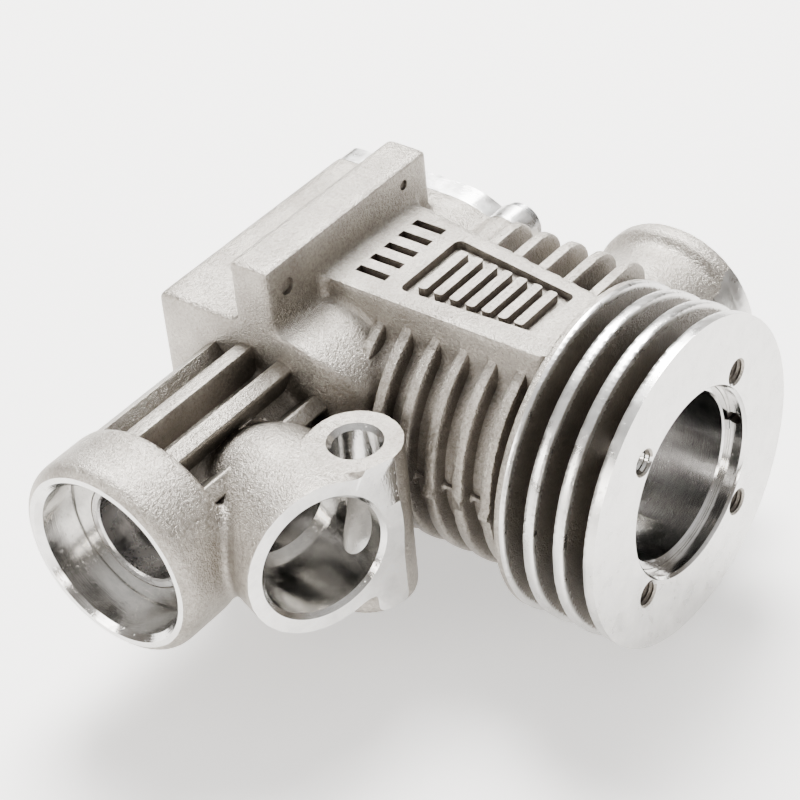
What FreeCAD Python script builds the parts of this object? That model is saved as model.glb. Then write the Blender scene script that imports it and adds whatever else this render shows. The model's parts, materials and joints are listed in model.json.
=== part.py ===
import FreeCAD, Part
import math
import os
import re

# Model glow engine of 3.5 cc, lying on its side.
# +X runs up the cylinder from the crank axis, +Y runs to the rear of the engine,
# +Z is the side that carries the flat pad. The origin is where the cylinder axis
# meets the crank axis.

V = FreeCAD.Vector

DIMS = dict(
    # cylinder casting
    deck=40.7, disc_rad=17.0, pitch=3.35, fin_wide=1.3, body_rad=12.6, fin_rad=14.5,
    fin_back=13.2, fin_top=14.2, fin_corner=3.0,
    pad_top=15.2, pad_low=3.2, pad_high=29.8, pad_front=7.4, pad_back=8.0, pad_narrow=3.6,
    # crank chamber block and lugs
    case_half=12.8, case_belly=12.2, case_front=15.2, case_rear=13.4, case_up=12.7, case_round=1.6,
    shoulder_round=6.0, top_round=9.0,
    chamber_rad=11.5, chamber_front=8.6,
    lug_out=20.0, lug_front=15.2, lug_rear=10.4, lug_low=1.8, lug_high=3.0,
    # front housing
    boss_rad=10.7, boss_face=39.05, boss_back=31.5, seat_rad=8.5, seat_deep=4.65,
    sleeve_rad=7.3, rib_rad=10.5, rib_wide=1.8, rib_step=28.0, tunnel_rad=5.15,
    # carburettor neck and pinch boss
    neck_x=17.4, neck_y=27.3, neck_tilt=20.6, neck_rad=8.4, neck_bore=6.4, neck_deep=9.6, neck_over=3.0,
    window_rad=5.4, window_deep=15.4,
    pinch_x=15.7, pinch_y=19.4, pinch_rad=4.7, pinch_bore=2.3, pinch_up=8.0, pinch_down=10.0,
    # exhaust stub
    stub_x=23.4, stub_face=24.5, stub_rad=8.2, stub_lip=9.3, lip_wide=1.8, stub_bore=6.6,
    # head joint
    recess_rad=9.7, recess_deep=1.8, flange_rad=9.45, screw_ring=11.4, screw_core=1.25, screw_deep=7.0,
    bore_rad=8.6, liner_rad=9.3, flange_wide=1.4, liner_low=14.5, dowel_rad=0.6,
    dowel_long=3.0,
    # crank train
    throw=7.5, rod_long=24.6, crown_high=6.1, skirt_low=5.0, crown_wall=2.4, piston_wall=1.5,
    wrist_rad=2.0, wrist_half=7.0, small_rad=3.4, big_rad=3.5, rod_half=2.0, shank_half=2.0,
    bush_wall=0.6, crankpin_rad=2.3, shaft_rad=5.0, shaft_bore=3.1, shaft_front=31.0,
    web_rad=10.9, web_front=8.0, web_rear=3.6, web_flat=7.6, nose_core=2.1, nose_deep=7.0,
    slug_rad=1.6, slug_x=6.0, slug_z=4.6, valve_front=20.4, valve_long=6.5, valve_half=3.2,
    shaft_wall=3.0, cheek_gap=0.6,
    # bearings and fits
    race_rad=9.5, race_wide=5.0, race_wall=1.15, ball_rad=1.5, ball_count=8.0,
    cage_half=0.7, cage_wide=4.2, pocket_gap=0.1, bush_rad=6.0, bush_long=5.4,
    run_fit=0.05, groove_gap=0.15, slip_gap=0.3, washer_wide=0.4,
    # rear cover
    cover_wide=2.5, cover_plug=4.6, cover_up=12.3, screw_pcd_half=9.7, screw_rad=1.5, head_rad=2.3,
    head_high=1.3, screw_long=9.0, ring_rad=0.8, socket_rad=1.0, ear_rad=2.6, ear_deep=5.0,
)

doc = FreeCAD.newDocument("glow_engine")
dims = doc.addObject("Spreadsheet::Sheet", "dims")
for row, (alias, value) in enumerate(DIMS.items(), start=1):
    dims.set("A%d" % row, alias)
    dims.set("B%d" % row, str(value))
    dims.setAlias("B%d" % row, alias)
doc.recompute()

TURN = {
    "X": FreeCAD.Rotation(V(0, 1, 0), 90),
    "Y": FreeCAD.Rotation(V(1, 0, 0), -90),
    "Z": FreeCAD.Rotation(),
}
nodes = []
DISCS = 4
FINS = 6
RIBS = 5
HEAD_SCREWS = 4


def linked(text):
    """An expression with each dimension's word pointing to its cell."""
    return re.sub(r"[a-z_]+", lambda m: "dims." + m[0] if m[0] in DIMS else m[0], text)


def size(alias):
    return float(dims.get(alias))


def bind(item, **sizes):
    for name, text in sizes.items():
        item.setExpression(name, linked(text))
    return item


def place(item, x="0", y="0", z="0", turn=None):
    item.Placement = FreeCAD.Placement(V(), turn or FreeCAD.Rotation())
    for name, text in (("x", x), ("y", y), ("z", z)):
        item.setExpression(".Placement.Base." + name, linked(text))
    return item


def rod_of(name, radius, length, axis, x="0", y="0", z="0"):
    """A round bar along an axis, from its start point."""
    item = doc.addObject("Part::Cylinder", name)
    bind(item, Radius=radius, Height=length)
    return place(item, x, y, z, TURN[axis])


def block(name, long, wide, high, x, y, z):
    item = doc.addObject("Part::Box", name)
    bind(item, Length=long, Width=wide, Height=high)
    return place(item, x, y, z)


def fuse(name, parts):
    item = doc.addObject("Part::MultiFuse", name)
    item.Shapes = parts
    return item


def chain(name, parts):
    """Joins the parts one after another."""
    whole = parts[0]
    for n, part in enumerate(parts[1:], start=1):
        item = doc.addObject("Part::Fuse", "%s_%d" % (name, n))
        item.Base = whole
        item.Tool = part
        whole = item
    return whole


def cut(name, base, tools):
    tool = tools[0] if len(tools) == 1 else fuse(name + "_tools", tools)
    item = doc.addObject("Part::Cut", name)
    item.Base = base
    item.Tool = tool
    return item


def ring(name, outer, inner, length, axis, x="0", y="0", z="0"):
    solid = rod_of(name + "_outer", outer, length, axis, x, y, z)
    hole = rod_of(name + "_inner", inner, length, axis, x, y, z)
    return cut(name, solid, [hole])


def rounded(name, base, radius, picked):
    """Rounds the edges of a solid for which picked(edge) is true."""
    base.recompute(True)
    item = doc.addObject("Part::Fillet", name)
    item.Base = base
    value = size(radius)
    item.Edges = [(n, value, value) for n, edge in enumerate(base.Shape.Edges, start=1) if picked(edge)]
    return item


def node(item, label):
    item.Label = label
    nodes.append(item)
    return item


def runs_along(edge, axis):
    start, end = edge.Vertexes[0].Point, edge.Vertexes[-1].Point
    move = end - start
    return move.Length > 0 and abs(abs(move.normalize().dot(axis)) - 1) < 1e-6


def case_block():
    """The crank chamber block with rounded lower corners, and its two mounting lugs."""
    box = block("case_box", "case_belly + case_up", "case_front + case_rear", "2 * case_half",
                "-case_belly", "-case_front", "-case_half")
    low = -size("case_belly") + 1e-3
    shell = rounded("case_lower", box, "case_round",
                    lambda e: runs_along(e, V(0, 1, 0)) and e.CenterOfMass.x < low)
    front, up = 1e-3 - size("case_front"), size("case_up") - 1e-3
    shell = rounded("case_upper", shell, "top_round",
                    lambda e: runs_along(e, V(0, 1, 0)) and e.CenterOfMass.x > up)
    shell = rounded("case_shoulder", shell, "shoulder_round",
                    lambda e: runs_along(e, V(0, 0, 1)) and e.CenterOfMass.x > up and e.CenterOfMass.y < front)
    lug = block("lug_bar", "lug_low + lug_high", "lug_front + lug_rear", "2 * lug_out",
                "-lug_low", "-lug_front", "-lug_out")
    ears = [rod_of("cover_ear_%d" % n, "ear_rad", "ear_deep", "Y", "screw_pcd_half", "case_rear - ear_deep", at)
            for n, at in enumerate(("screw_pcd_half", "-screw_pcd_half"))]
    return [shell, lug] + ears


def finned_cylinder():
    """The barrel of the cylinder with round discs at the head end and shaped fins below.

    The last fin is round only, because the rear cover stands behind it."""
    parts = [rod_of("cylinder_core", "body_rad", "deck", "X")]
    for n in range(DISCS):
        parts.append(rod_of("disc_%d" % n, "disc_rad", "fin_wide", "X", "deck - fin_wide - %d * pitch" % n))
    for n in range(DISCS, DISCS + FINS):
        at = "deck - fin_wide - %d * pitch" % n
        parts.append(rod_of("fin_round_%d" % n, "fin_rad", "fin_wide", "X", at))
        if n == DISCS + FINS - 1:
            break
        plate = fuse("fin_plate_%d" % n, [
            block("fin_upper_%d" % n, "fin_wide", "fin_back + pad_front", "fin_top", at, "-pad_front", "0"),
            block("fin_lower_%d" % n, "fin_wide", "fin_back", "fin_top", at, "0", "-fin_top"),
        ])
        plate.Refine = True
        back = size("fin_back") - 1e-3
        parts.append(rounded("fin_shape_%d" % n, plate, "fin_corner",
                             lambda e: runs_along(e, V(1, 0, 0)) and e.CenterOfMass.y > back))
    return parts


def side_pad():
    """The flat raised pad, narrower towards the head."""
    pad = doc.addObject("Part::Wedge", "side_pad")
    bind(pad, Xmin="-pad_back", Xmax="pad_front", X2min="-pad_narrow", X2max="pad_front",
         Ymin="pad_low", Ymax="pad_high", Zmin="0", Z2min="0", Zmax="pad_top", Z2max="pad_top")
    pad.Placement = FreeCAD.Placement(V(), FreeCAD.Rotation(V(0, 0, 1), -90))
    return pad


def front_housing():
    """The boss for the front bearing, the shaft sleeve and its long ribs."""
    boss = rod_of("front_boss", "boss_rad", "boss_face - boss_back", "Y", "0", "-boss_face")
    front = -size("boss_face") + 1e-3
    boss = rounded("front_boss_round", boss, "case_round",
                   lambda e: len(e.Vertexes) == 1 and e.CenterOfMass.y < front)
    parts = [boss, rod_of("shaft_sleeve", "sleeve_rad", "boss_back - case_front + 2", "Y", "0", "-boss_back - 1")]
    for n in range(-RIBS, RIBS + 1):
        angle = 180 + n * size("rib_step")
        rib = doc.addObject("Part::Box", "rib_%d" % (n + RIBS))
        bind(rib, Length="rib_rad", Width="boss_back - case_front + 2", Height="rib_wide")
        turn = FreeCAD.Rotation(V(0, 1, 0), -angle)
        rib.Placement = FreeCAD.Placement(V(), turn) * FreeCAD.Placement(
            V(0, -size("boss_back") - 1, -size("rib_wide") / 2), FreeCAD.Rotation())
        parts.append(rib)
    return parts


def neck_turn():
    tilt = math.radians(size("neck_tilt"))
    return FreeCAD.Rotation(V(0, 0, 1), V(-math.cos(tilt), math.sin(tilt), 0))


def neck_bar(name, radius, length, above=0):
    """A bar down the leaning neck, from its top or from a height above it."""
    tilt = math.radians(size("neck_tilt"))
    item = doc.addObject("Part::Cylinder", name)
    bind(item, Radius=radius, Height=length)
    return place(item, "neck_x + %.6f" % (above * math.cos(tilt)),
                 "-neck_y - %.6f" % (above * math.sin(tilt)), "0", neck_turn())


def crankcase():
    solid = chain("casting", case_block() + finned_cylinder() + [side_pad()] + front_housing() + [
        neck_bar("neck", "neck_rad", "window_deep + 2"),
        rod_of("pinch_boss", "pinch_rad", "pinch_up + pinch_down", "Z", "pinch_x", "-pinch_y", "-pinch_down"),
        rod_of("exhaust_stub", "stub_rad", "stub_face - 2", "Y", "stub_x", "2"),
        rod_of("exhaust_lip", "stub_lip", "lip_wide", "Y", "stub_x", "stub_face - lip_wide"),
    ])
    cuts = [
        rod_of("chamber", "chamber_rad", "chamber_front + case_rear + 1", "Y", "0", "-chamber_front"),
        rod_of("rear_seat", "race_rad", "race_wide + 1", "Y", "0", "-chamber_front - race_wide"),
        rod_of("shaft_tunnel", "tunnel_rad", "boss_face - chamber_front + 1", "Y", "0", "-boss_face - 1"),
        rod_of("bush_seat", "bush_rad", "bush_long + 1", "Y", "0", "-boss_face + seat_deep - 1"),
        rod_of("front_seat", "seat_rad", "seat_deep + 1", "Y", "0", "-boss_face - 1"),
        neck_bar("neck_hole", "neck_bore", "neck_deep + neck_over", size("neck_over")),
        neck_bar("neck_window", "window_rad", "window_deep"),
        rod_of("pinch_hole", "pinch_bore", "pinch_up + pinch_down + 2", "Z", "pinch_x", "-pinch_y",
               "-pinch_down - 1"),
        rod_of("liner_bore", "liner_rad", "deck - chamber_rad + 6", "X", "chamber_rad - 5"),
        rod_of("head_recess", "recess_rad", "recess_deep + 1", "X", "deck - recess_deep"),
        rod_of("flange_seat", "flange_rad", "flange_wide + 1", "X", "deck - recess_deep - flange_wide"),
        rod_of("exhaust_way", "stub_bore", "stub_face", "Y", "stub_x", "1"),
        block("cover_room", "case_belly + cover_up + 1.1", "8", "2 * case_half + 2", "-case_belly - 1",
              "case_rear", "-case_half - 1"),
        block("transfer_way", "deck / 2 - 3", "9", "2 * body_rad - 2.6", "7", "-4.5", "-body_rad + 1.3"),
        rod_of("dowel_hole", "dowel_rad", "recess_deep + dowel_long + 1", "X",
               "deck - recess_deep - dowel_long", "recess_rad"),
    ]
    for n in range(HEAD_SCREWS):
        angle = 2 * math.pi * (n + 0.5) / HEAD_SCREWS
        hole = rod_of("head_screw_%d" % n, "screw_core", "screw_deep + 1", "X", "deck - screw_deep",
                      "screw_ring * %.6f" % math.cos(angle), "screw_ring * %.6f" % math.sin(angle))
        cuts.append(hole)
    for n, (a, b) in enumerate(((1, 1), (1, -1), (-1, 1), (-1, -1))):
        cuts.append(rod_of("cover_hole_%d" % n, "screw_rad", "screw_long - cover_wide + 1", "Y",
                           "screw_pcd_half * %d" % a, "case_rear + cover_wide - screw_long",
                           "screw_pcd_half * %d" % b))
    node(cut("crankcase", solid, cuts), "crankcase")


def cylinder_liner():
    body = rod_of("liner_body", "liner_rad", "deck - recess_deep - liner_low", "X", "liner_low")
    flange = rod_of("liner_flange", "flange_rad", "flange_wide", "X", "deck - recess_deep - flange_wide")
    bore = rod_of("liner_hole", "bore_rad", "deck", "X")
    outlet = block("outlet_port", "5", "liner_rad + 1", "10", "stub_x", "0", "-5")
    side = block("side_ports", "3.4", "7", "2 * liner_rad + 2", "stub_x", "-3.5", "-liner_rad - 1")
    notch = rod_of("liner_notch", "dowel_rad", "flange_wide + dowel_long", "X",
                   "deck - recess_deep - flange_wide - dowel_long", "recess_rad")
    solid = fuse("liner_solid", [body, flange])
    node(cut("cylinder_liner", solid, [bore, outlet, side, notch]), "cylinder_liner")
    node(rod_of("liner_dowel", "dowel_rad", "dowel_long", "X", "deck - recess_deep - dowel_long",
                "recess_rad"), "liner_locating_pin")


def piston_group():
    """Piston at the bottom of its stroke, with its wrist pin and two wire clips."""
    pin_x = "rod_long - throw"
    skin = rod_of("piston_skin", "bore_rad - run_fit", "crown_high + skirt_low", "X", pin_x + " - skirt_low")
    hollow = rod_of("piston_hollow", "bore_rad - piston_wall", "crown_high + skirt_low - crown_wall", "X",
                    pin_x + " - skirt_low")
    shell = cut("piston_shell", skin, [hollow])
    boss = rod_of("piston_bosses", "wrist_rad + 1.6", "2 * bore_rad - 2 * piston_wall + 0.6", "Y", pin_x,
                  "-bore_rad + piston_wall - 0.3")
    gap = block("piston_gap", "2 * small_rad + 4", "2 * rod_half + 1.4", "2 * bore_rad",
                pin_x + " - skirt_low - 1", "-rod_half - 0.7", "-bore_rad")
    inside = rod_of("piston_inside", "bore_rad - piston_wall - 0.05", "crown_high + skirt_low - crown_wall", "X",
                    pin_x + " - skirt_low")
    gap_in = doc.addObject("Part::Common", "piston_gap_inside")
    gap_in.Base = gap
    gap_in.Tool = inside
    solid = fuse("piston_solid", [shell, cut("piston_lugs", boss, [gap_in])])
    hole = rod_of("piston_pin_hole", "wrist_rad", "2 * bore_rad + 2", "Y", pin_x, "-bore_rad - 1")
    grooves = [rod_of("clip_groove_%d" % n, "wrist_rad + 0.4", "0.9", "Y", pin_x, at)
               for n, at in enumerate(("wrist_half", "-wrist_half - 0.9"))]
    node(cut("piston", solid, [hole] + grooves), "piston")
    node(ring("wrist_pin", "wrist_rad", "wrist_rad - 0.8", "2 * wrist_half - 0.1", "Y", pin_x,
              "-wrist_half + 0.05"), "wrist_pin")
    clips = [ring("clip_%d" % n, "wrist_rad + 0.4", "wrist_rad - 0.5", "0.8", "Y", pin_x, at)
             for n, at in enumerate(("wrist_half + 0.05", "-wrist_half - 0.85"))]
    node(fuse("wrist_pin_clips", clips), "wrist_pin_clips")


def rod_group():
    """Connecting rod with a bronze bush at each end."""
    ends = [
        rod_of("rod_big", "big_rad", "2 * rod_half", "Y", "-throw", "-rod_half"),
        rod_of("rod_small", "small_rad", "2 * rod_half", "Y", "rod_long - throw", "-rod_half"),
        block("rod_shank", "rod_long", "2 * rod_half - 1", "2 * shank_half", "-throw", "-rod_half + 0.5",
              "-shank_half"),
    ]
    waist = [block("rod_waist_%d" % n, "rod_long - big_rad - small_rad - 2", "1", "2 * shank_half - 1.6",
                   "-throw + big_rad + 1", at, "-shank_half + 0.8")
             for n, at in enumerate(("-rod_half + 0.4", "rod_half - 1.4"))]
    holes = [
        rod_of("rod_big_hole", "crankpin_rad + run_fit + bush_wall", "2 * rod_half", "Y", "-throw", "-rod_half"),
        rod_of("rod_small_hole", "wrist_rad + run_fit + bush_wall", "2 * rod_half", "Y", "rod_long - throw",
               "-rod_half"),
    ]
    node(cut("connecting_rod", fuse("rod_solid", ends), waist + holes), "connecting_rod")
    node(ring("big_end_bush", "crankpin_rad + run_fit + bush_wall", "crankpin_rad + run_fit", "2 * rod_half", "Y",
              "-throw", "-rod_half"), "big_end_bush")
    node(ring("small_end_bush", "wrist_rad + run_fit + bush_wall", "wrist_rad + run_fit", "2 * rod_half", "Y",
              "rod_long - throw", "-rod_half"), "small_end_bush")


def crankshaft_group():
    """Hollow shaft with the rotary valve port, the web, the crankpin and two heavy slugs."""
    solid = fuse("shaft_solid", [
        rod_of("shaft_journal", "shaft_rad", "shaft_front - web_front", "Y", "0", "-shaft_front"),
        rod_of("shaft_web", "web_rad", "web_front - web_rear", "Y", "0", "-web_front"),
        rod_of("crankpin", "crankpin_rad", "web_front - rod_half - slip_gap", "Y", "-throw", "-web_front"),
    ])
    cheeks = [block("cheek_%d" % n, "web_rad + 1", "web_front - web_rear + 2", "web_rad", "-web_rad - 1",
                    "-web_front - 1", at) for n, at in enumerate(("shaft_rad + cheek_gap", "-shaft_rad - cheek_gap - web_rad"))]
    slugs = [rod_of("slug_%d" % n, "slug_rad", "web_front - web_rear", "Y", "slug_x", "-web_front", at)
             for n, at in enumerate(("slug_z", "-slug_z"))]
    slug_holes = [rod_of("slug_hole_%d" % n, "slug_rad", "web_front - web_rear", "Y", "slug_x", "-web_front", at)
                  for n, at in enumerate(("slug_z", "-slug_z"))]
    cuts = cheeks + slug_holes + [
        rod_of("shaft_hole", "shaft_bore", "shaft_front - nose_deep - shaft_wall - web_rear", "Y", "0",
               "-shaft_front + nose_deep + shaft_wall"),
        rod_of("nose_hole", "nose_core", "nose_deep + 1", "Y", "0", "-shaft_front - 1"),
        block("valve_port", "shaft_rad + 1", "valve_long", "2 * valve_half", "0", "-valve_front", "-valve_half"),
    ]
    node(cut("crankshaft", solid, cuts), "crankshaft")
    node(fuse("crank_balance_slugs", slugs), "crank_balance_slugs")
    node(ring("crank_thrust_washer", "shaft_rad + 1.4", "shaft_rad + run_fit", "washer_wide", "Y", "0",
              "-chamber_front + 0.1"), "crank_thrust_washer")


def front_bush():
    node(ring("front_shaft_bush", "bush_rad", "shaft_rad + run_fit", "bush_long", "Y", "0",
              "-boss_face + seat_deep"), "front_shaft_bush")


def rear_bearing():
    """Ball bearing between the crank chamber and the shaft tunnel."""
    start = "-chamber_front - race_wide"
    middle = "-chamber_front - race_wide / 2"
    track = "(race_rad + shaft_rad) / 2"
    for name, outer, inner in (("rear_bearing_outer_race", "race_rad", "race_rad - race_wall"),
                               ("rear_bearing_inner_race", "shaft_rad + race_wall", "shaft_rad")):
        groove = doc.addObject("Part::Torus", name + "_groove")
        bind(groove, Radius1=track, Radius2="ball_rad + groove_gap")
        place(groove, "0", middle, "0", TURN["Y"])
        blank = ring(name + "_blank", outer, inner, "race_wide", "Y", "0", start)
        node(cut(name, blank, [groove]), name)
    count = int(size("ball_count"))
    balls, pockets = [], []
    for n in range(count):
        turn = 360 * n / count
        angle = math.radians(turn)
        ball = doc.addObject("Part::Sphere", "ball_%d" % n)
        bind(ball, Radius="ball_rad")
        balls.append(place(ball, track + " * %.6f" % math.cos(angle), middle, track + " * %.6f" % math.sin(angle)))
        pocket = doc.addObject("Part::Cylinder", "pocket_%d" % n)
        bind(pocket, Radius="ball_rad + pocket_gap", Height="race_rad")
        pockets.append(place(pocket, "0", middle, "0", FreeCAD.Rotation(V(0, 1, 0), 90 - turn)))
    node(fuse("rear_bearing_balls", balls), "rear_bearing_balls")
    blank = ring("cage_blank", track + " + cage_half", track + " - cage_half", "cage_wide", "Y", "0",
                 middle + " - cage_wide / 2")
    node(cut("rear_bearing_cage", blank, pockets), "rear_bearing_cage")


def rear_cover():
    """Cover plate, its seal ring and four screws."""
    plate = block("cover_plate", "case_belly + cover_up", "cover_wide", "2 * case_half", "-case_belly", "case_rear",
                  "-case_half")
    top = size("cover_up") - 1e-3
    plate = rounded("cover_shape", plate, "top_round", lambda e: runs_along(e, V(0, 1, 0)) and e.CenterOfMass.x > top)
    ears = [rod_of("plate_ear_%d" % n, "ear_rad", "cover_wide", "Y", "screw_pcd_half", "case_rear", at)
            for n, at in enumerate(("screw_pcd_half", "-screw_pcd_half"))]
    plug = rod_of("cover_plug", "chamber_rad - run_fit", "cover_plug", "Y", "0", "case_rear - cover_plug")
    groove = ring("cover_groove", "chamber_rad + 1", "chamber_rad - 2 * ring_rad", "2 * ring_rad", "Y", "0",
                  "case_rear - cover_plug / 2 - ring_rad")
    dish = rod_of("cover_dish", "chamber_rad - 3", "cover_plug - 1", "Y", "0", "case_rear - cover_plug - 0.5")
    spots = [(a, b) for a in (1, -1) for b in (1, -1)]
    holes = [rod_of("plate_hole_%d" % n, "screw_rad", "cover_wide", "Y", "screw_pcd_half * %d" % a, "case_rear",
                    "screw_pcd_half * %d" % b) for n, (a, b) in enumerate(spots)]
    node(cut("backplate", fuse("cover_solid", [plate, plug] + ears), [groove, dish] + holes), "backplate")
    node(ring("backplate_seal_ring", "chamber_rad", "chamber_rad - 2 * ring_rad", "2 * ring_rad", "Y", "0",
              "case_rear - cover_plug / 2 - ring_rad"), "backplate_seal_ring")
    screws = []
    for n, (a, b) in enumerate(spots):
        x, z = "screw_pcd_half * %d" % a, "screw_pcd_half * %d" % b
        body = fuse("screw_%d" % n, [
            rod_of("screw_stem_%d" % n, "screw_rad", "screw_long", "Y", x, "case_rear + cover_wide - screw_long", z),
            rod_of("screw_head_%d" % n, "head_rad", "head_high", "Y", x, "case_rear + cover_wide", z),
        ])
        socket = rod_of("screw_socket_%d" % n, "socket_rad", "head_high / 2 + 0.1", "Y", x,
                        "case_rear + cover_wide + head_high / 2", z)
        screws.append(cut("cap_screw_%d" % n, body, [socket]))
    node(fuse("backplate_screws", screws), "backplate_screws")


def write_nodes():
    doc.recompute()
    for item in doc.Objects:
        state = [word for word in item.State if word in ("Invalid", "Error")]
        if state:
            raise RuntimeError("%s is %s" % (item.Name, state))
    os.makedirs("parts", exist_ok=True)
    for item in nodes:
        shape = item.Shape
        if shape.isNull() or not shape.isValid() or not shape.Solids:
            raise RuntimeError("%s has no valid solid" % item.Label)
        print("%-26s solids %2d volume %9.2f" % (item.Label, len(shape.Solids), shape.Volume))
        shape.exportStep("parts/%s.step" % item.Label)


crankcase()
cylinder_liner()
piston_group()
rod_group()
crankshaft_group()
front_bush()
rear_bearing()
rear_cover()
write_nodes()
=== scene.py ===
import bmesh
import bpy
import json
import math
from mathutils import Matrix, Vector


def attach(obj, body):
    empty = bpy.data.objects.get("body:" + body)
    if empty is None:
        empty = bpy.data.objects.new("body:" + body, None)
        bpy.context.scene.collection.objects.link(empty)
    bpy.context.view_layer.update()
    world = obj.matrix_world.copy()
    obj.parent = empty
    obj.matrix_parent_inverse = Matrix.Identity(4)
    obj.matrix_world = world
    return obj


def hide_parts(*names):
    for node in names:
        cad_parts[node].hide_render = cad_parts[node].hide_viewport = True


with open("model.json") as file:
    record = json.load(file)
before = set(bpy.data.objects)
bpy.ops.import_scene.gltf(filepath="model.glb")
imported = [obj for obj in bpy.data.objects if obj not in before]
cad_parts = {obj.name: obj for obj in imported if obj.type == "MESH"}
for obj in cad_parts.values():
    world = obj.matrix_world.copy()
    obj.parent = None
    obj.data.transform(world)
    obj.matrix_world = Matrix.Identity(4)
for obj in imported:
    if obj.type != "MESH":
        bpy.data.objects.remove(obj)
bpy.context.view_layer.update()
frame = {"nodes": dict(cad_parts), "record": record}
MM = 0.001

# Row frame, in millimetres while the meshes are built: +X up the cylinder, +Y to the rear
# cover, +Z towards the flat pad. Each matrix turns Z onto the axis.
AXES = {
    "X": Matrix(((0, 0, 1), (1, 0, 0), (0, 1, 0))),
    "Y": Matrix(((0, 1, 0), (0, 0, 1), (1, 0, 0))),
    "Z": Matrix.Identity(3),
}


# ---------------------------------------------------------------- mesh helpers
def new_object(name, bm):
    mesh = bpy.data.meshes.new(name)
    bmesh.ops.recalc_face_normals(bm, faces=bm.faces)
    bm.to_mesh(mesh)
    bm.free()
    obj = bpy.data.objects.new(name, mesh)
    bpy.context.scene.collection.objects.link(obj)
    return obj


def lathe(name, profile, axis="Y", at=(0, 0, 0), turn=None, segments=128):
    """A closed solid turned round an axis. profile lists (radius, distance along the axis)."""
    bm = bmesh.new()
    spin = turn or AXES[axis]
    rings = []
    for radius, along in profile:
        if radius < 1e-6:
            rings.append([bm.verts.new(spin @ Vector((0, 0, along)) + Vector(at))])
            continue
        ring = []
        for n in range(segments):
            a = 2 * math.pi * n / segments
            corner = Vector((radius * math.cos(a), radius * math.sin(a), along))
            ring.append(bm.verts.new(spin @ corner + Vector(at)))
        rings.append(ring)
    closed = profile[0][0] > 1e-6
    pairs = list(zip(rings, rings[1:])) + ([(rings[-1], rings[0])] if closed else [])
    for low, high in pairs:
        for n in range(segments):
            m = (n + 1) % segments
            corners = [low[n % len(low)], low[m % len(low)], high[m % len(high)], high[n % len(high)]]
            unique = list(dict.fromkeys(corners))
            if len(unique) > 2:
                bm.faces.new(unique)
    return new_object(name, bm)


def rod(name, radius, start, end, axis="Y", at=(0, 0, 0), turn=None, segments=128):
    return lathe(name, [(0, start), (radius, start), (radius, end), (0, end)], axis, at, turn, segments)


def prism(name, outline, low, high, axis="Z"):
    """A flat outline pushed along an axis. It is drawn in the next two axes, in the order X, Y, Z, X, Y."""
    bm = bmesh.new()
    spin = AXES[axis]
    rings = [[bm.verts.new(spin @ Vector((a, b, c))) for a, b in outline] for c in (low, high)]
    bm.faces.new(rings[0])
    bm.faces.new(list(reversed(rings[1])))
    for n in range(len(outline)):
        m = (n + 1) % len(outline)
        bm.faces.new((rings[0][n], rings[1][n], rings[1][m], rings[0][m]))
    return new_object(name, bm)


def box(name, low, high):
    outline = [(low[0], low[1]), (high[0], low[1]), (high[0], high[1]), (low[0], high[1])]
    return prism(name, outline, low[2], high[2])


def soft_corners(points, radius, steps=6):
    """Rounds each corner of an outline; radius is one number or one per corner."""
    radii = radius if isinstance(radius, (list, tuple)) else [radius] * len(points)
    out = []
    for n, (p, r) in enumerate(zip(points, radii)):
        p = Vector(p)
        if r <= 0:
            out.append(tuple(p))
            continue
        a = (Vector(points[n - 1]) - p).normalized()
        b = (Vector(points[(n + 1) % len(points)]) - p).normalized()
        half = a.angle(b) / 2
        reach = r / math.tan(half)
        centre = p + (a + b).normalized() * r / math.sin(half)
        first, last = p + a * reach - centre, p + b * reach - centre
        swing = first.angle_signed(last)
        for k in range(steps + 1):
            t = -swing * k / steps
            turned = Vector((first.x * math.cos(t) - first.y * math.sin(t),
                             first.x * math.sin(t) + first.y * math.cos(t)))
            out.append(tuple(centre + turned))
    return out


def joined(name, objects):
    bm = bmesh.new()
    for obj in objects:
        bm.from_mesh(obj.data)
    out = new_object(name, bm)
    for obj in objects:
        bpy.data.objects.remove(obj)
    return out


def applied(obj):
    """Replaces the mesh by what its modifiers make of it."""
    graph = bpy.context.evaluated_depsgraph_get()
    mesh = bpy.data.meshes.new_from_object(obj.evaluated_get(graph))
    obj.modifiers.clear()
    obj.data = mesh
    return obj


def melted(obj, voxel, passes):
    """One skin over overlapping pieces, with every inner and outer corner softened as in a casting."""
    remesh = obj.modifiers.new("melt", "REMESH")
    remesh.mode = "VOXEL"
    remesh.voxel_size = voxel
    smooth = obj.modifiers.new("soften", "SMOOTH")
    smooth.factor = 0.5
    smooth.iterations = passes
    return applied(obj)


def boolean(obj, tools, operation="DIFFERENCE"):
    for tool in tools:
        step = obj.modifiers.new("step", "BOOLEAN")
        step.object = tool
        step.operation = operation
        step.solver = "MANIFOLD"
        applied(obj)
        bpy.data.objects.remove(tool)
    return obj


def shaded(obj, angle=28):
    for face in obj.data.polygons:
        face.use_smooth = True
    obj.data.set_sharp_from_angle(angle=math.radians(angle))


def to_metres(obj):
    obj.data.transform(Matrix.Scale(MM, 4))
    return obj


# ---------------------------------------------------------------- materials
def shader(name, colour, rough, metal=1.0):
    mat = bpy.data.materials.new(name)
    mat.use_nodes = True
    tree = mat.node_tree
    bsdf = tree.nodes["Principled BSDF"]
    bsdf.inputs["Metallic"].default_value = metal
    bsdf.inputs["Roughness"].default_value = rough
    bsdf.inputs["Base Color"].default_value = (*colour, 1)
    return mat, tree, bsdf


def node(tree, kind, **values):
    item = tree.nodes.new("ShaderNode" + kind)
    for key, value in values.items():
        if hasattr(item, key):
            setattr(item, key, value)
        else:
            item.inputs[key.replace("_", " ")].default_value = value
    return item


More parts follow.
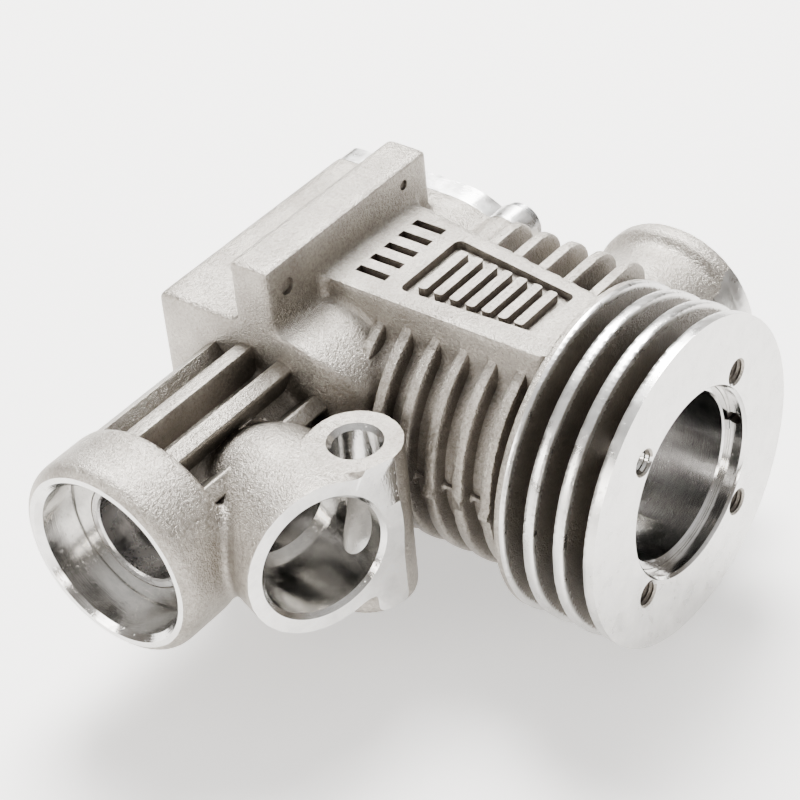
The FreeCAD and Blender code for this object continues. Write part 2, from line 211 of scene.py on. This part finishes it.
def mapped(tree):
    """Object coordinates in millimetres."""
    coords = tree.nodes.new("ShaderNodeTexCoord")
    scale = tree.nodes.new("ShaderNodeMapping")
    scale.inputs["Scale"].default_value = (1 / MM, 1 / MM, 1 / MM)
    tree.links.new(coords.outputs["Object"], scale.inputs["Vector"])
    return scale.outputs["Vector"]


def noise(tree, where, scale, detail=3, rough=0.6):
    item = node(tree, "TexNoise", Scale=scale, Detail=detail, Roughness=rough)
    tree.links.new(where, item.inputs["Vector"])
    return item.outputs["Fac"]


def spread(tree, value, low, high, a=0.3, b=0.7):
    item = node(tree, "MapRange")
    for key, number in zip(("From Min", "From Max", "To Min", "To Max"), (a, b, low, high)):
        item.inputs[key].default_value = number
    tree.links.new(value, item.inputs["Value"])
    return item.outputs["Result"]


def tinted(tree, value, dark, light, a=0.3, b=0.7):
    ramp = tree.nodes.new("ShaderNodeValToRGB")
    ramp.color_ramp.elements[0].position = a
    ramp.color_ramp.elements[0].color = (*dark, 1)
    ramp.color_ramp.elements[1].position = b
    ramp.color_ramp.elements[1].color = (*light, 1)
    tree.links.new(value, ramp.inputs["Fac"])
    return ramp.outputs["Color"]


def bumped(tree, bsdf, heights):
    """Stacks bumps: heights lists (value, strength, distance in metres)."""
    last = None
    for value, strength, distance in heights:
        bump = node(tree, "Bump", Strength=strength, Distance=distance)
        tree.links.new(value, bump.inputs["Height"])
        if last:
            tree.links.new(last, bump.inputs["Normal"])
        last = bump.outputs["Normal"]
    tree.links.new(last, bsdf.inputs["Normal"])


def painted_crevice_shade(tree, colour, dark, reach, amount):
    """Darkens the colour where neighbouring surfaces come close: painted shade in the casting's hollows and
    creases.
    """
    near = node(tree, "AmbientOcclusion", samples=6, Distance=reach)
    near.only_local = True
    near.inputs["Color"].default_value = (1, 1, 1, 1)
    mix = tree.nodes.new("ShaderNodeMix")
    mix.data_type = "RGBA"
    mix.inputs["A"].default_value = (*dark, 1)
    tree.links.new(colour, mix.inputs["B"])
    tree.links.new(spread(tree, near.outputs["AO"], 1 - amount, 1, 0.15, 0.75), mix.inputs["Factor"])
    return mix.outputs["Result"]


def cast_aluminium():
    mat, tree, bsdf = shader("cast_aluminium", (0.8, 0.78, 0.74), 0.45)
    where = mapped(tree)
    grain = noise(tree, where, 2.7, 3, 0.8)
    fine = noise(tree, where, 6.0, 2, 0.6)
    cloud = noise(tree, where, 0.16, 4, 0.6)
    tone = tinted(tree, cloud, (0.37, 0.343, 0.305), (0.52, 0.485, 0.435), 0.35, 0.65)
    speck = node(tree, "Mix", data_type="RGBA", blend_type="MULTIPLY")
    speck.inputs["Factor"].default_value = 0.75
    tree.links.new(tone, speck.inputs["A"])
    tree.links.new(tinted(tree, grain, (0.5, 0.49, 0.475), (1, 1, 1), 0.36, 0.62), speck.inputs["B"])
    # painted shade: the cast colour falls to a warm near-black in recesses, creases and between parts
    shade = painted_crevice_shade(tree, speck.outputs["Result"], (0.10, 0.085, 0.07), 0.005, 0.85)
    tree.links.new(shade, bsdf.inputs["Base Color"])
    tree.links.new(spread(tree, grain, 0.3, 0.5), bsdf.inputs["Roughness"])
    bumped(tree, bsdf, [(grain, 0.9, 0.00017), (fine, 0.8, 0.00009), (cloud, 0.1, 0.0004)])
    return mat


def turned_metal(name, colour, rough, axis, pitch=9.0, strength=0.12):
    """Metal faced or bored on a lathe: fine lines round an axis, and a few faint pits."""
    mat, tree, bsdf = shader(name, colour, rough)
    where = mapped(tree)
    split = node(tree, "SeparateXYZ")
    tree.links.new(where, split.inputs[0])
    side = [c for c in "XYZ" if c != axis]
    squares = []
    for c in side:
        power = node(tree, "Math", operation="MULTIPLY")
        tree.links.new(split.outputs[c], power.inputs[0])
        tree.links.new(split.outputs[c], power.inputs[1])
        squares.append(power.outputs[0])
    total = node(tree, "Math", operation="ADD")
    tree.links.new(squares[0], total.inputs[0])
    tree.links.new(squares[1], total.inputs[1])
    radius = node(tree, "Math", operation="SQRT")
    tree.links.new(total.outputs[0], radius.inputs[0])
    both = node(tree, "CombineXYZ")
    tree.links.new(radius.outputs[0], both.inputs[0])
    tree.links.new(split.outputs[axis], both.inputs[1])
    lines = noise(tree, both.outputs[0], pitch, 2, 0.6)
    patch = noise(tree, where, 0.45, 4, 0.65)
    pits = noise(tree, where, 2.6, 2, 0.5)
    light = tuple(min(1, c * 1.1) for c in colour)
    dark = tuple(c * 0.86 for c in colour)
    tree.links.new(tinted(tree, patch, dark, light), bsdf.inputs["Base Color"])
    tree.links.new(spread(tree, patch, rough * 0.75, rough * 1.35), bsdf.inputs["Roughness"])
    sunk = spread(tree, pits, 0, 1, 0.62, 0.74)
    bumped(tree, bsdf, [(lines, strength, 0.00006), (sunk, 0.25, 0.00005)])
    return mat


def plain_metal(name, colour, rough, grain=4.0, strength=0.1):
    mat, tree, bsdf = shader(name, colour, rough)
    where = mapped(tree)
    patch = noise(tree, where, 0.5, 4, 0.6)
    fine = noise(tree, where, grain, 2, 0.6)
    light = tuple(min(1, c * 1.12) for c in colour)
    dark = tuple(c * 0.8 for c in colour)
    tree.links.new(tinted(tree, patch, dark, light), bsdf.inputs["Base Color"])
    tree.links.new(spread(tree, fine, rough * 0.75, rough * 1.3), bsdf.inputs["Roughness"])
    bumped(tree, bsdf, [(fine, strength, 0.00005)])
    return mat


def rubber():
    mat, tree, bsdf = shader("seal_rubber", (0.02, 0.02, 0.02), 0.6, 0)
    where = mapped(tree)
    tree.links.new(tinted(tree, noise(tree, where, 1.2), (0.012, 0.012, 0.012), (0.035, 0.035, 0.035)),
                   bsdf.inputs["Base Color"])
    bumped(tree, bsdf, [(noise(tree, where, 6.0), 0.2, 0.00005)])
    return mat


CAST = cast_aluminium()
FACED_X = turned_metal("faced_aluminium_head", (0.66, 0.65, 0.63), 0.3, "X", 7.0, 0.14)
FACED_Y = turned_metal("faced_aluminium_crank", (0.66, 0.65, 0.63), 0.3, "Y", 7.0, 0.14)
BORED_Y = turned_metal("bored_aluminium", (0.68, 0.67, 0.65), 0.14, "Y", 6.0, 0.2)
BORED_X = turned_metal("bored_aluminium_head", (0.68, 0.67, 0.65), 0.12, "X", 6.0, 0.18)
LINER = turned_metal("plated_liner", (0.66, 0.65, 0.64), 0.12, "X", 5.0, 0.2)


# ---------------------------------------------------------------- the casting
DECK = 40.7  # head face above the crank axis
PITCH = 3.35  # from one fin to the next
FIN = 1.3  # thickness of a disc or fin
FINS = 10  # discs and fins together, counted from the head
DISCS = 4  # of these, how many are full discs
DISC_RAD = 17.0
HEAD_SCREW_RING = 11.4
BOSS_FACE = -39.05
CASE_FRONT = -15.2
CASE_REAR = 13.4
COVER_OUT = 15.9
STUB_FACE = 24.5
STUB_AT = (23.4, 0, 0)
PINCH_AT = (15.7, -19.4, 0)
COVER_SCREW = 9.7  # half the spacing of the cover screws
COVER_SCREWS = [(x, z) for x in (-COVER_SCREW, COVER_SCREW) for z in (-COVER_SCREW, COVER_SCREW)]
BORE_RAD = 8.6
PIN_X = 17.1  # wrist pin at the bottom of the stroke
NECK = Vector((17.4, -27.3, 0))  # middle of the neck's mouth
TILT = math.radians(20.6)
NECK_IN = Vector((-math.cos(TILT), math.sin(TILT), 0))  # down the neck
NECK_TURN = Matrix((Vector((0, 0, 1)).cross(NECK_IN), (0, 0, 1), NECK_IN)).transposed()


def casting_body():
    """The heavy parts of the casting, melted into one skin."""
    section = soft_corners([(-12.8, -12.2), (12.8, -12.2), (12.8, 12.7), (-12.8, 12.7)],
                           [1.2, 1.2, 9.0, 9.0], 12)
    side = soft_corners([(-13, 14.5), (-13, CASE_FRONT), (12.7, CASE_FRONT), (12.7, 14.5)],
                        [0, 0.6, 6.0, 0], 10)
    pad = soft_corners([(3.0, -7.4), (29.8, -7.4), (29.8, 3.6), (3.0, 8.0)], [0.5, 1.8, 1.8, 0.5])
    edge = [(9.2 + 1.5 * math.sin(k * math.pi / 12), -37.6 - 1.5 * math.cos(k * math.pi / 12))
            for k in range(7)]
    boss = [(0, -39.5), (9.2, -39.5)] + edge + [(10.7, -32.0), (10.2, -31.5), (0, -31.5)]
    neck = [(0, -0.5), (8.4, -0.5), (8.4, 9.0), (8.0, 12.0), (6.8, 14.2), (0, 15.5)]
    lip = [(0, 1.0), (8.2, 1.0), (8.2, 22.2), (8.6, 22.6), (9.3, 22.9), (9.3, 24.9), (0, 24.9)]
    parts = [
        boolean(prism("case", section, CASE_FRONT, 13.9, "Y"), [prism("case_side", side, -14, 14)],
                "INTERSECT"),
        rod("ear", 2.6, 8.4, 13.9, at=(COVER_SCREW, 0, COVER_SCREW), segments=48),
        rod("ear", 2.6, 8.4, 13.9, at=(COVER_SCREW, 0, -COVER_SCREW), segments=48),
        box("lug", (-1.8, CASE_FRONT, -20.0), (3.0, 10.4, 20.0)),
        rod("core", 12.6, 0, DECK - 0.3, "X", segments=96),
        prism("pad", pad, 0, 15.2),
        lathe("boss", boss),
        rod("sleeve", 7.3, -32.5, -13.2),
        lathe("neck", neck, at=NECK, turn=NECK_TURN, segments=96),
        rod("pinch", 4.7, -10.0, 8.4, "Z", at=PINCH_AT, segments=64),
        lathe("stub", lip, at=STUB_AT),
        rod("pinch_root", 3.6, -8.0, 5.0, "Z", at=(12.6, -16.6, 0), segments=48),
    ]
    body = joined("casting_body", parts)
    melted(body, 0.36, 10)
    return body


def thin_parts():
    """Discs, fins and ribs: thin and crisper than the rest."""
    parts = []
    lowest = FINS - 1
    for n in range(FINS):
        x = DECK - FIN - n * PITCH
        if n < DISCS:
            top = x + FIN + (0.5 if n == 0 else 0)
            parts.append(rod("disc", DISC_RAD, x, top, "X", segments=160))
            continue
        parts.append(rod("fin", 14.5 if n < lowest else 14.3, x, x + FIN, "X", segments=128))
        if n == lowest:
            continue
        upper = soft_corners([(-7.4, 0), (13.2, 0), (13.2, 14.2), (-7.4, 14.2)], [0, 0, 3.0, 0])
        lower = soft_corners([(0, -14.2), (13.2, -14.2), (13.2, 0), (0, 0)], [0, 3.0, 0, 0])
        parts += [prism("plate", upper, x, x + FIN, "X"), prism("plate", lower, x, x + FIN, "X")]
    for n in range(-5, 6):
        a = math.radians(180 + 28 * n)
        rib = box("rib", (0, -32.2, -0.95), (10.4, -14.2, 0.95))
        rib.data.transform(Matrix.Rotation(-a, 4, "Y"))
        parts.append(rib)
    for n in range(DISCS, FINS):
        x = DECK - FIN - n * PITCH
        parts.append(box("flash", (x, -14.95, -0.3), (x + FIN, -13.5, 0.35)))
        parts.append(box("flash", (x - 2.2, -13.0, -0.25), (x + 0.2, -12.2, 0.3)))
    thin = joined("thin_parts", parts)
    melted(thin, 0.24, 3)
    return thin


def thread(name, radius, depth, axis, at, pitch=0.5):
    """The cut for a tapped hole with a countersink; its depth runs to minus along the axis, from at."""
    profile = [(0, 1.0), (radius + 1.2, 1.0), (radius + 0.2, 0.0)]
    z = -0.2
    while z > -depth:
        profile += [(radius, z), (radius + 0.16, z - pitch / 2)]
        z -= pitch
    profile += [(radius, z), (0, z - radius * 0.6)]
    return lathe(name, profile, axis, at, segments=40)


def panel_cut():
    """A shallow tray in the pad with seven plain bars left standing, and five grooves below it."""
    outline = soft_corners([(10.9, -5.3), (26.3, -4.4), (26.3, 2.4), (10.9, 4.6)], 0.7)
    tray = prism("tray", outline, 14.3, 16.5)
    bars = []
    for n in range(7):
        x = 12.2 + 1.9 * n
        bars.append([(x, -4.1), (x + 1.05, -4.05), (x + 1.05, 3.1 - 0.19 * n), (x, 3.2 - 0.19 * n)])
    tools = [prism("bar", soft_corners(b, 0.3, 3), 13.0, 17.0) for b in bars]
    tray = boolean(tray, tools)
    grooves = [box("groove", (5.2, y, 14.3), (8.9, y + 1.0, 16.5)) for y in (-4.9, -2.6, -0.3, 2.0, 4.3)]
    return [tray] + grooves


def crankcase():
    body = casting_body()
    thin = thin_parts()
    boolean(body, [thin], "UNION")
    fence = 60  # well outside the part
    seat = [(0, -45), (9.25, -45), (9.25, -39.2), (8.5, -38.5), (8.5, -34.8), (8.7, -34.7), (8.7, -34.4),
            (0, -34.4)]
    chamber = [(0, -8.6), (11.5, -8.6), (11.5, 13.0), (12.0, 13.45), (12.0, 16), (0, 16)]
    neck = [(0, -3), (6.9, -3), (6.9, -0.05), (6.4, 0.45), (6.4, 9.6), (5.4, 9.6), (5.4, 15.4), (0, 15.4)]
    pinch = [(0, 12), (2.9, 12), (2.9, 8.1), (2.3, 7.5), (2.3, -11), (0, -11)]
    recess = [(0, 37.5), (9.5, 37.5), (9.5, 38.9), (9.65, 38.9), (9.65, 40.4), (9.9, 40.66), (10.2, 41.2),
              (0, 41.2)]
    exhaust = [(0, 1), (6.6, 1), (6.6, 23.9), (7.1, 24.55), (7.1, 26), (0, 26)]
    cuts = [
        # faces cut flat
        box("deck_face", (DECK, -fence, -fence), (fence, fence, fence)),
        box("boss_face", (-fence, -fence, -fence), (9.0 + fence, BOSS_FACE, fence)),
        box("rear_face", (-fence, CASE_REAR, -fence), (12.9, fence, fence)),
        box("stub_face", (12.9, STUB_FACE, -fence), (fence, fence, fence)),
        rod("pinch_face", 5.2, 8.0, 12.0, "Z", at=PINCH_AT),
        rod("neck_face", 14, -6, 0, at=NECK, turn=NECK_TURN),
        # front seat, tunnel and crank chamber
        lathe("front_seat", seat),
        rod("bush_seat", 6.0, -35, -29.0),
        rod("tunnel", 5.15, -36, -3),
        rod("rear_seat", 9.5, -13.6, -8),
        lathe("chamber", chamber),
        # neck and its pinch bolt
        lathe("neck_bore", neck, at=NECK, turn=NECK_TURN),
        lathe("pinch_bore", pinch, "Z", PINCH_AT, segments=72),
        # cylinder
        rod("liner_bore", 9.3, 6.5, 45, "X"),
        lathe("head_recess", recess, "X", segments=192),
        lathe("exhaust_bore", exhaust, at=STUB_AT),
        box("transfer", (7, -4.5, -11.3), (24.35, 4.5, 11.3)),
        rod("dowel_hole", 0.62, 35.9, 38.95, "X", (0, 9.65, 0), segments=32),
        rod("wall_hole", 0.75, 9.0, 12.0, "Y", (39.5, 0, 1.0), segments=32),
        # small cast dimples in the lug's inner face
        rod("dimple_a", 0.9, 2.6, 3.6, "X", (0, -12.4, 17.0), segments=24),
        rod("dimple_b", 0.55, 2.7, 3.6, "X", (0, 6.3, 18.0), segments=20),
    ]
    for n in range(4):
        a = math.radians(45 + 90 * n)
        place = (DECK, HEAD_SCREW_RING * math.cos(a), HEAD_SCREW_RING * math.sin(a))
        cuts.append(thread("head_thread", 1.25, 6.5, "X", place))
    for x, z in COVER_SCREWS:
        cuts.append(rod("cover_hole", 1.5, 6.9, 16, "Y", (x, 0, z), segments=40))
    boolean(body, cuts + panel_cut())
    body.name = "crankcase_casting"
    body.data.materials.clear()
    for mat in (CAST, FACED_X, FACED_Y, BORED_Y, BORED_X):
        body.data.materials.append(mat)
    for face in body.data.polygons:
        face.material_index = surface_kind(face.center, face.normal)
    shaded(body)
    return to_metres(body)


def surface_kind(c, n):
    """The finish of a casting face with centre c and normal n, as its place in the casting's materials."""
    cast, faced_x, faced_y, bored_y, bored_x = range(5)
    square, off_axis = 0.98, 0.9  # how far a normal lies along an axis
    round_x, round_y = math.hypot(c.y, c.z), math.hypot(c.x, c.z)
    local = NECK_TURN.transposed() @ (c - NECK)
    round_neck = math.hypot(local.x, local.y)
    on_neck = c.y < -17
    in_chamber = -14 < c.y < 13.5 and round_y < 9.7
    in_recess = c.x > 36 and 8.5 < round_x < 10.4
    chamber_wall = c.x < 12.5 and abs(round_y - 11.5) < 0.1 and -8.7 < c.y < 13.5
    neck_mouth = abs(n.dot(NECK_IN)) > square and local.z < 0.05 and on_neck
    neck_bore = round_neck < 6.95 and local.z < 1 and on_neck or round_neck < 6.55 and -0.1 < local.z < 15.5
    pinch_bore = math.hypot(c.x - PINCH_AT[0], c.y - PINCH_AT[1]) < 3.0
    stub_bore = c.y > 12 and math.hypot(c.x - STUB_AT[0], c.z) < 7.2
    if n.x > square and c.x > DECK - 0.05 or c.x > 30 and round_x > 16.4:
        return faced_x
    if c.x > 14 and round_x < 9.9 and abs(n.x) < off_axis or in_recess:
        return bored_x
    if c.y > 13.3 and n.y > square or c.y < -39.0 and n.y < -square:
        return faced_y
    if c.y < -33.5 and round_y < 9.4 or round_y < 5.3 or in_chamber:
        return bored_y
    if chamber_wall:
        return faced_y
    if neck_mouth or neck_bore or pinch_bore or stub_bore:
        return bored_y
    return cast


# ---------------------------------------------------------------- the pieces inside
def liner():
    profile = [(BORE_RAD, 14.5), (9.28, 14.5), (9.28, 37.52), (9.48, 37.52), (9.48, 38.8), (9.38, 38.9),
               (8.75, 38.9), (BORE_RAD, 38.7)]
    obj = lathe("liner_turned", profile, "X", segments=192)
    tools = [box("port", (23.4, 0, -5), (28.4, 12, 5)),
             box("ports", (23.4, -3.5, -11), (26.8, 3.5, 11)),
             rod("notch", 0.6, 34.5, 42, "X", (0, 9.65, 0), segments=32)]
    boolean(obj, tools)
    return finished(obj, LINER, "case", "cylinder_liner")


def piston():
    crown, low, skin = 23.2, 12.1, 8.55
    profile = [(0, 20.8), (6.2, 20.8), (7.1, 20.0), (7.1, low), (8.3, low), (skin, low + 0.4), (skin, 22.0),
               (8.35, 22.1), (8.35, 22.3), (skin, 22.4), (skin, crown - 0.5), (8.2, crown - 0.1),
               (7.4, crown), (0, crown)]
    obj = lathe("piston_turned", profile, "X", segments=160)
    boss = rod("boss", 3.6, -7.4, 7.4, "Y", (PIN_X, 0, 0), segments=64)
    gap = box("gap", (11.0, -2.7, -8), (20.6, 2.7, 8))
    boolean(boss, [gap])
    boolean(obj, [boss], "UNION")
    hole = [(0, -10), (2.4, -10), (2.4, -7.0), (2.0, -7.0), (2.0, 7.0), (2.4, 7.0), (2.4, 10), (0, 10)]
    boolean(obj, [lathe("pin_hole", hole, "Y", (PIN_X, 0, 0), segments=64)])
    return finished(obj, TURNED, "piston", "piston")


def crankshaft():
    journal = [(0, -31), (4.6, -31), (5.0, -30.6), (5.0, -8.3), (10.5, -8.0), (10.9, -7.6), (10.9, -4.0),
               (10.5, -3.6), (0, -3.6)]
    obj = lathe("crankshaft_turned", journal, "Y", segments=128)
    pin = [(0, -5), (2.3, -5), (2.3, -2.6), (2.0, -2.3), (0, -2.3)]
    boolean(obj, [lathe("pin", pin, "Y", (-7.5, 0, 0), segments=64)], "UNION")
    tools = [box("cheek", (-12, -9, low), (0, -2, high)) for low, high in ((5.6, 17), (-17, -5.6))]
    tools += [rod("slug_hole", 1.6, -8.6, -3, "Y", (6.0, 0, z), segments=48) for z in (4.6, -4.6)]
    tools += [rod("way", 3.1, -21, -3, "Y", segments=64), box("valve", (0, -20.4, -3.2), (7, -13.9, 3.2))]
    nose = [(0, -32), (3.2, -32), (2.3, -30.9), (2.1, -30.6), (2.1, -24.6), (0, -23.6)]
    tools += [lathe("nose", nose, "Y", segments=48)]
    boolean(obj, tools)
    return finished(obj, TUNNEL_SHADE_STEEL, "crank", "crankshaft")


def bush():
    profile = [(5.05, -34.2), (5.25, -34.4), (5.85, -34.4), (6.0, -34.2), (6.0, -29.0), (5.05, -29.0)]
    obj = lathe("front_bush_turned", profile, "Y", segments=128)
    return finished(obj, SLEEVE, "case", "front_shaft_bush")


def backplate():
    outline = soft_corners([(-12.8, -12.2), (12.8, -12.2), (12.8, 12.3), (-12.8, 12.3)],
                           [1.6, 1.6, 9.0, 9.0], 12)
    plug = [(0, 8.8), (11.2, 8.8), (11.45, 9.05), (11.45, 10.3), (9.9, 10.3), (9.9, 11.9), (11.45, 11.9),
            (11.45, 14.2), (0, 14.2)]
    hole = [(0, 13.0), (1.5, 13.0), (1.5, 15.5), (1.9, 15.95), (1.9, 17), (0, 17)]
    ears = [rod("ear", 2.6, CASE_REAR, COVER_OUT, at=(COVER_SCREW, 0, z), segments=64)
            for z in (-COVER_SCREW, COVER_SCREW)]
    obj = prism("backplate_turned", outline, CASE_REAR, COVER_OUT, "Y")
    boolean(obj, ears, "UNION")
    boolean(obj, [lathe("plug", plug, "Y", segments=128)], "UNION")
    tools = [rod("dish", 8.5, 8.3, 11.9, "Y", segments=96),
             lathe("face_ring", [(5.2, 15.5), (8.2, 15.5), (8.5, 16.5), (4.9, 16.5)], "Y", segments=128)]
    for x, z in COVER_SCREWS:
        tools.append(lathe("hole", hole, "Y", (x, 0, z), segments=40))
    boolean(obj, tools)
    bevel = obj.modifiers.new("edge", "BEVEL")
    bevel.width = 0.25
    bevel.segments = 2
    bevel.limit_method = "ANGLE"
    bevel.angle_limit = math.radians(60)
    applied(obj)
    return finished(obj, PLATE, "case", "backplate")


def screws():
    parts = []
    socket = 1.1
    shape = [(0, 6.9), (1.1, 6.9), (1.5, 7.3), (1.5, COVER_OUT), (2.3, COVER_OUT), (2.3, 16.9), (2.0, 17.2),
             (0, 17.2)]
    for x, z in COVER_SCREWS:
        one = lathe("screw", shape, "Y", (x, 0, z), segments=48)
        turns = [math.radians(60 * k) for k in range(6)]
        corners = [(socket * math.cos(t) + z, socket * math.sin(t) + x) for t in turns]
        boolean(one, [prism("hex", corners, 16.4, 19, "Y")])
        parts.append(one)
    return finished(joined("cover_screws", parts), SCREW, "case", "backplate_screws")


def finished(obj, mat, body, cad_node):
    obj.data.materials.clear()
    obj.data.materials.append(mat)
    shaded(obj)
    to_metres(obj)
    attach(obj, body)
    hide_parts(cad_node)
    return obj


SLOTS = {s["node"]: s["material_slot"] for s in frame["record"]["subparts"]}
TURNED = turned_metal("piston_alloy", (0.62, 0.62, 0.62), 0.28, "X", 8.0, 0.2)
# painted shade: the crankshaft steel is coloured darker than bare steel so that the shaft inside the front
# tunnel reads as the tunnel's shade
TUNNEL_SHADE_STEEL = turned_metal("hardened_steel", (0.2, 0.195, 0.19), 0.24, "Y", 8.0, 0.12)
SLEEVE = turned_metal("ground_sleeve", (0.5, 0.49, 0.48), 0.26, "Y", 8.0, 0.12)
BRONZE = turned_metal("bronze", (0.66, 0.43, 0.21), 0.28, "Y", 8.0, 0.15)
PLATE = turned_metal("machined_aluminium", (0.8, 0.79, 0.77), 0.3, "Y", 6.0, 0.2)
SCREW = plain_metal("cover_screw", (0.5, 0.5, 0.5), 0.3)
GROUND = plain_metal("ground_steel", (0.6, 0.61, 0.62), 0.18)
SPRING = plain_metal("spring_steel", (0.4, 0.4, 0.42), 0.3)
ROD = plain_metal("rod_alloy", (0.7, 0.69, 0.67), 0.32, 2.0, 0.25)
HEAVY = plain_metal("heavy_alloy", (0.3, 0.3, 0.31), 0.4)

casting = crankcase()
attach(casting, "case")
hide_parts("crankcase")
liner()
piston()
crankshaft()
bush()
backplate()
screws()

# pieces that keep their CAD mesh and only get a metal or rubber
KEPT = {
    "ground_steel": GROUND, "spring_steel": SPRING, "rod_alloy": ROD, "bronze": BRONZE,
    "heavy_alloy": HEAVY, "seal_rubber": rubber(),
}
for name, obj in frame["nodes"].items():
    if SLOTS[name] in KEPT:
        obj.data.materials.clear()
        obj.data.materials.append(KEPT[SLOTS[name]])


# ---------------------------------------------------------------- table, light and camera
def backdrop():
    bm = bmesh.new()
    for x, y in ((-3, -3), (3, -3), (3, 3), (-3, 3)):
        bm.verts.new((x, y, -0.0201))
    bm.faces.new(bm.verts[:])
    floor = new_object("floor", bm)
    mat, tree, bsdf = shader("white_table", (0.95, 0.93, 0.905), 0.7, 0)
    bsdf.inputs["Emission Color"].default_value = (1, 1, 1, 1)
    bsdf.inputs["Emission Strength"].default_value = 0.72
    bumped(tree, bsdf, [(noise(tree, mapped(tree), 0.6, 4), 0.05, 0.0004)])
    floor.data.materials.append(mat)


def area(name, place, size, power, colour=(1, 1, 1), aim=(0.01, -0.008, 0)):
    data = bpy.data.lights.new(name, "AREA")
    data.shape = "RECTANGLE"
    data.size, data.size_y = size
    data.energy = power
    data.color = colour
    lamp = bpy.data.objects.new(name, data)
    bpy.context.scene.collection.objects.link(lamp)
    lamp.location = place
    lamp.rotation_euler = (Vector(aim) - Vector(place)).to_track_quat("-Z", "Y").to_euler()


backdrop()
area("soft_top", (-0.20, 0.28, 0.62), (0.35, 0.35), 22.0)
area("front_left", (-0.30, -0.75, 0.30), (0.3, 0.3), 5.0, (1, 0.97, 0.93))
area("low_front", (0.45, -0.6, 0.12), (0.5, 0.1), 2.0, (1, 0.95, 0.9))

# a room that is white overhead and darkens downwards, which the metal picks up as its dark tones
world = bpy.data.worlds.new("studio")
world.use_nodes = True
tree = world.node_tree
sky = tree.nodes["Background"]
coords = tree.nodes.new("ShaderNodeTexCoord")
split = tree.nodes.new("ShaderNodeSeparateXYZ")
ramp = tree.nodes.new("ShaderNodeValToRGB")
ramp.color_ramp.elements[0].position = 0.0
ramp.color_ramp.elements[0].color = (0.16, 0.145, 0.13, 1)
ramp.color_ramp.elements[1].position = 1.0
ramp.color_ramp.elements[1].color = (1, 1, 1, 1)
middle = ramp.color_ramp.elements.new(0.35)
middle.color = (0.26, 0.24, 0.22, 1)
tree.links.new(coords.outputs["Generated"], split.inputs[0])
tree.links.new(split.outputs["Z"], ramp.inputs["Fac"])
tree.links.new(ramp.outputs["Color"], sky.inputs["Color"])
sky.inputs["Strength"].default_value = 1.25
bpy.context.scene.world = world

lens = bpy.data.cameras.new("camera")
lens.sensor_width = 36
lens.lens = 2600 / 800 * lens.sensor_width  # focal length over picture width, both in pixels
lens.clip_start = 0.01
camera = bpy.data.objects.new("camera", lens)
bpy.context.scene.collection.objects.link(camera)
back = Vector((0.519, -0.602, 0.607)).normalized()
right = Vector((-0.317, 0.524, 0.791)).cross(back).normalized()
up = back.cross(right)
turn = Matrix((right, up, back)).transposed()
camera.matrix_world = Matrix.Translation(Vector((0.1449, -0.1622, 0.1593))) @ turn.to_4x4()
bpy.context.scene.camera = camera
